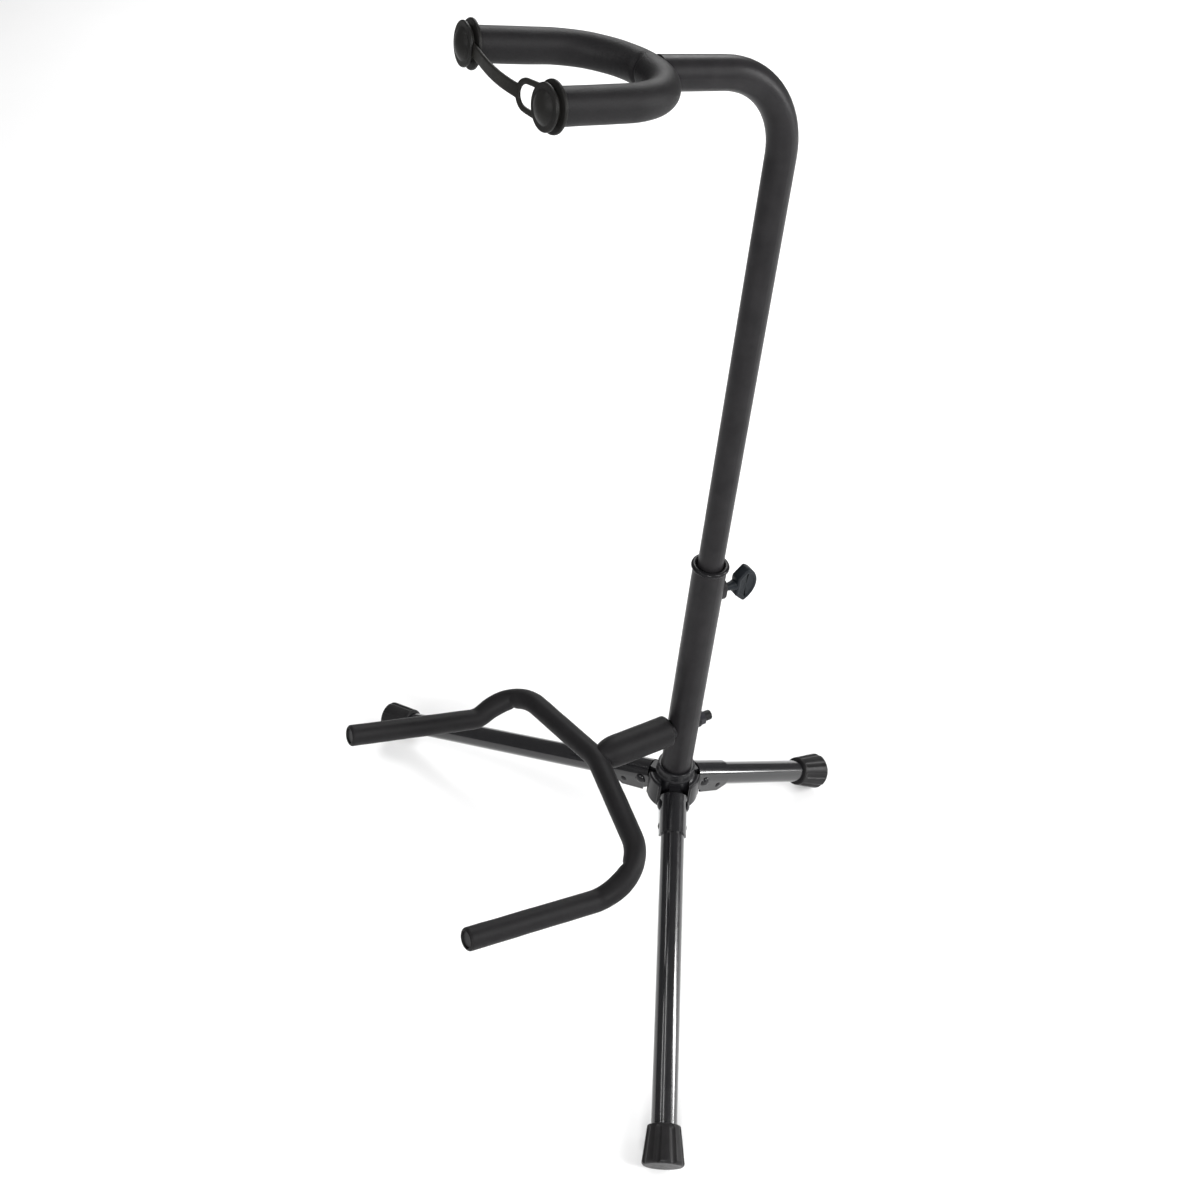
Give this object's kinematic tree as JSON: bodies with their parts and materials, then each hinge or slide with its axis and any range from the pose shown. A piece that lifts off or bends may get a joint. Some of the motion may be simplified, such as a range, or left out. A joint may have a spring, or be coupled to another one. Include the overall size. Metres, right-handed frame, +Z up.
{
  "type": "guitar stand",
  "caption": "Folding tripod stand: a sliding mast carries a padded neck yoke with a rubber strap, over a padded two-arm cradle for the guitar's body.",
  "frame": {"origin": "on the floor under the middle of the stand's overall box", "axes": "+X to the cradle's right arm, -Y to the front where the guitar stands, +Z up"},
  "size_m": [0.505, 0.3992, 0.7137],
  "materials": {
    "tube_satin_black": "satin black powder coat with a fine grain",
    "leg_gloss_black": "smooth gloss black enamel",
    "hub_black": "semi-gloss black enamel on a casting",
    "rivet_black": "gloss black rivet heads",
    "foam": "matte black closed-cell foam with fine pores",
    "cap_rubber": "satin black moulded rubber",
    "strap_rubber": "satin black rubber",
    "foot_rubber": "satin black moulded rubber",
    "knob_plastic": "satin blue-black moulded plastic",
    "collar_plastic": "semi-gloss black moulded plastic",
    "black_plastic": "satin black moulded plastic",
    "nylon": "natural nylon",
    "zinc_steel": "bright zinc-plated screw",
    "bolt_steel": "black zinc-plated steel",
    "bare_steel": "plain drawn steel, hidden by the foam"
  },
  "bodies": {
    "base": {"hub_body": "hub_black", "lower_tube": "tube_satin_black", "tube_end_plug": "black_plastic", "top_collar": "collar_plastic", "clamp_boss": "tube_satin_black", "saddle_washer": "black_plastic", "rear_washer": "black_plastic"},
    "clamp_pad": {"clamp_pad": "nylon"},
    "thumb_screw": {"clamp_screw": "zinc_steel", "wing_knob": "knob_plastic"},
    "mast_slider": {"mast_guide_bush": "nylon"},
    "mast": {"mast_tube": "tube_satin_black", "neck_rod": "bare_steel", "neck_foam": "foam", "neck_cap_left": "cap_rubber", "neck_cap_right": "cap_rubber"},
    "strap": {"retaining_strap": "strap_rubber"},
    "cradle": {"cradle_bolt": "bolt_steel", "bolt_nut": "bolt_steel", "bolt_cap": "black_plastic", "stub_tube": "bare_steel", "stub_foam": "foam", "cradle_rod": "bare_steel", "cradle_foam": "foam", "cradle_plug_left": "black_plastic", "cradle_plug_right": "black_plastic"},
    "leg_left": {"leg_bracket_left": "leg_gloss_black", "leg_tube_left": "leg_gloss_black", "foot_left": "foot_rubber", "pivot_rivet_left": "rivet_black", "crimp_rivet_left": "rivet_black"},
    "leg_right": {"leg_bracket_right": "leg_gloss_black", "leg_tube_right": "leg_gloss_black", "foot_right": "foot_rubber", "pivot_rivet_right": "rivet_black", "crimp_rivet_right": "rivet_black"},
    "leg_rear": {"leg_bracket_rear": "leg_gloss_black", "leg_tube_rear": "leg_gloss_black", "foot_rear": "foot_rubber", "pivot_rivet_rear": "rivet_black", "crimp_rivet_rear": "rivet_black"}
  },
  "joints": [
    {"name": "mast_height", "type": "slide", "parent": "base", "child": "mast_slider", "axis": [0, 0.0819, 0.9966], "range_m": [-0.04, 0.06]},
    {"name": "mast_swivel", "type": "hinge", "parent": "mast_slider", "child": "mast", "pos_m": [0, 0.04625, 0.20117], "axis": [0, 0.0819, 0.9966], "continuous": true},
    {"name": "strap_swing", "type": "hinge", "parent": "mast", "child": "strap", "pos_m": [-0.04443, -0.09261, 0.7015], "axis": [0.061, 0.9824, -0.1768], "range_deg": [0, 95], "deforming": ["retaining_strap"]},
    {"name": "knob_turn", "type": "hinge", "parent": "clamp_pad", "child": "thumb_screw", "pos_m": [0, 0.08466, 0.28881], "axis": [0, 0.9966, -0.0819], "range_deg": [0, 1080]},
    {"name": "clamp_pad_slide", "type": "slide", "parent": "base", "child": "clamp_pad", "axis": [0, 0.9966, -0.0819], "range_m": [0, 0.003]},
    {"name": "cradle_twist", "type": "hinge", "parent": "base", "child": "cradle", "pos_m": [0, 0.02839, 0.15586], "axis": [0, -0.9986, 0.0523], "range_deg": [-90, 90]},
    {"name": "leg_left_fold", "type": "hinge", "parent": "base", "child": "leg_left", "pos_m": [-0.02134, 0.02383, 0.08742], "axis": [0.521, -0.8507, 0.0699], "range_deg": [0, 66]},
    {"name": "leg_right_fold", "type": "hinge", "parent": "base", "child": "leg_right", "pos_m": [0.02134, 0.02383, 0.08742], "axis": [0.521, 0.8507, -0.0699], "range_deg": [0, 66]},
    {"name": "leg_rear_fold", "type": "hinge", "parent": "base", "child": "leg_rear", "pos_m": [0, 0.06173, 0.08431], "axis": [-1, 0, 0], "range_deg": [0, 60]}
  ],
  "couplings": [
    {"joint": "clamp_pad_slide", "follows": "knob_turn", "m_per_rad": 0.000159}
  ]
}
